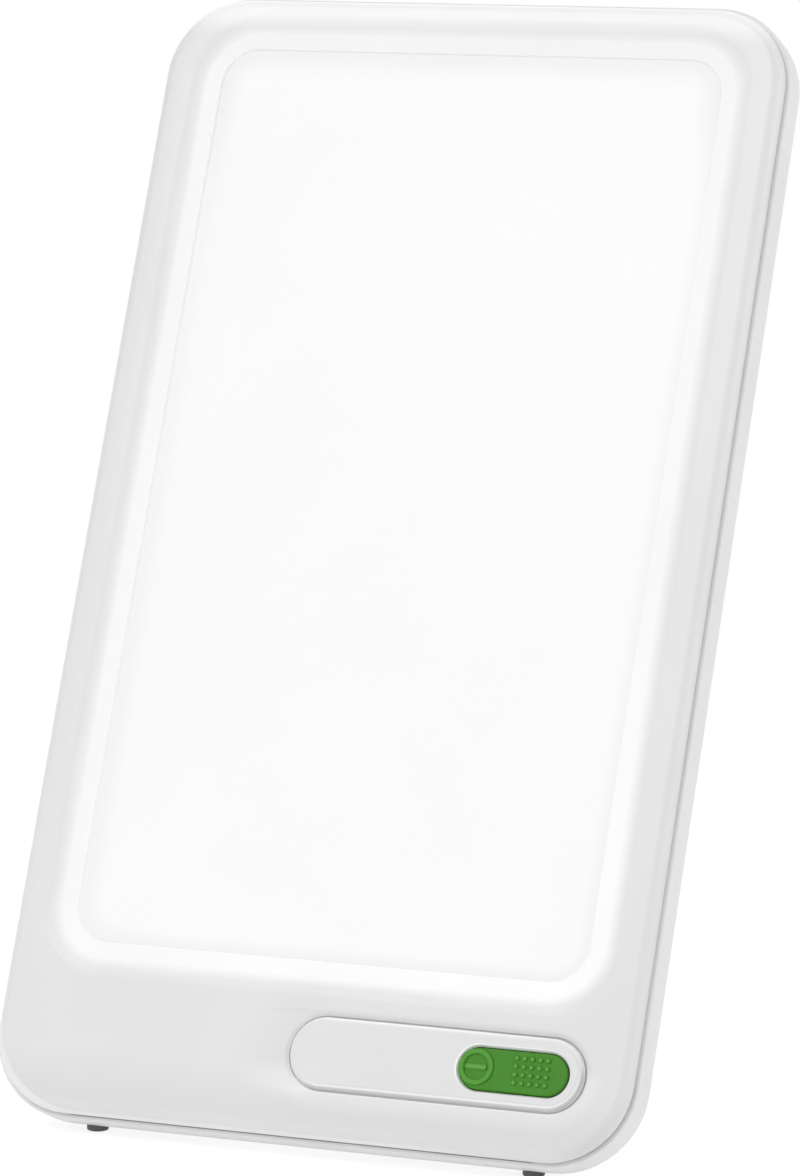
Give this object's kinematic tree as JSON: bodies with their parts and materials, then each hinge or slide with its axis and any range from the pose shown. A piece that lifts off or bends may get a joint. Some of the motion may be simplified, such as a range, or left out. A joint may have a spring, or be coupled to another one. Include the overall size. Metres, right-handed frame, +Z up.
{
  "type": "light therapy lamp",
  "caption": "Slim white light panel that leans back on small rubber feet and a fold-out rear leg, with an opal window, a capsule plate in its chin and a green push key.",
  "frame": {"origin": "on the surface the lamp stands on, in the middle of the object's box seen from above", "axes": "+Z up, the lit front faces -Y and leans back towards +Y, +X to the right of someone who looks at the front"},
  "size_m": [0.2208, 0.167, 0.3548],
  "materials": {
    "white_plastic": "fine satin moulded ABS",
    "opal_acrylic": "opal, lit evenly from behind",
    "clear_acrylic": "clear light guide",
    "white_film": "white film",
    "gasket_foam": "soft foam",
    "green_key": "satin moulded green",
    "dark_rubber": "matt",
    "grey_silicone": "translucent silicone",
    "sheet_aluminium": "mill finish",
    "steel": "zinc plated",
    "circuit_board": "green solder mask",
    "strip_board": "white solder mask on aluminium",
    "chip_phosphor": "phosphor filled",
    "black_plastic": "satin",
    "ivory_plastic": "natural nylon",
    "plated_brass": "bright plated",
    "lead_jacket": "flexible white jacket"
  },
  "bodies": {
    "lamp": {"back_plate": "sheet_aluminium", "base_feet": "dark_rubber", "board_components": "black_plastic", "board_connectors": "ivory_plastic", "board_screws": "steel", "cap_screws": "steel", "control_board": "circuit_board", "dc_jack": "black_plastic", "dc_jack_contact": "plated_brass", "diffuser_panel": "opal_acrylic", "front_frame": "white_plastic", "hinge_caps": "white_plastic", "housing_screws": "steel", "jack_leads": "lead_jacket", "jack_nut": "steel", "key_return_pad": "grey_silicone", "led_chips": "chip_phosphor", "led_leads": "lead_jacket", "led_strips": "strip_board", "light_guide": "clear_acrylic", "optical_film": "white_film", "panel_gasket": "gasket_foam", "panel_screws": "steel", "rear_housing": "white_plastic", "reflector_sheet": "white_film", "switch_board": "circuit_board", "switch_leads": "lead_jacket", "switch_plate": "white_plastic", "switch_screws": "steel", "tact_switch": "black_plastic"},
    "power_button": {"power_button": "green_key"},
    "tact_plunger": {"tact_plunger": "black_plastic"},
    "stand": {"stand_leg": "white_plastic", "stand_pad": "dark_rubber", "stand_pin": "steel"}
  },
  "joints": [
    {"name": "stand_fold", "type": "hinge", "parent": "lamp", "child": "stand", "pos_m": [0, 0.00747, 0.17415], "axis": [-1, 0, 0], "range_deg": [0, 38.4]},
    {"name": "key_press", "type": "slide", "parent": "lamp", "child": "power_button", "axis": [0, 0.9178, -0.3971], "range_m": [0, 0.0008], "stiffness_N_per_m": 1500, "deforming": ["key_return_pad"]},
    {"name": "plunger_press", "type": "slide", "parent": "lamp", "child": "tact_plunger", "axis": [0, 0.9178, -0.3971], "range_m": [0, 0.0008]}
  ],
  "couplings": [
    {"joint": "plunger_press", "follows": "key_press", "ratio": 1}
  ]
}
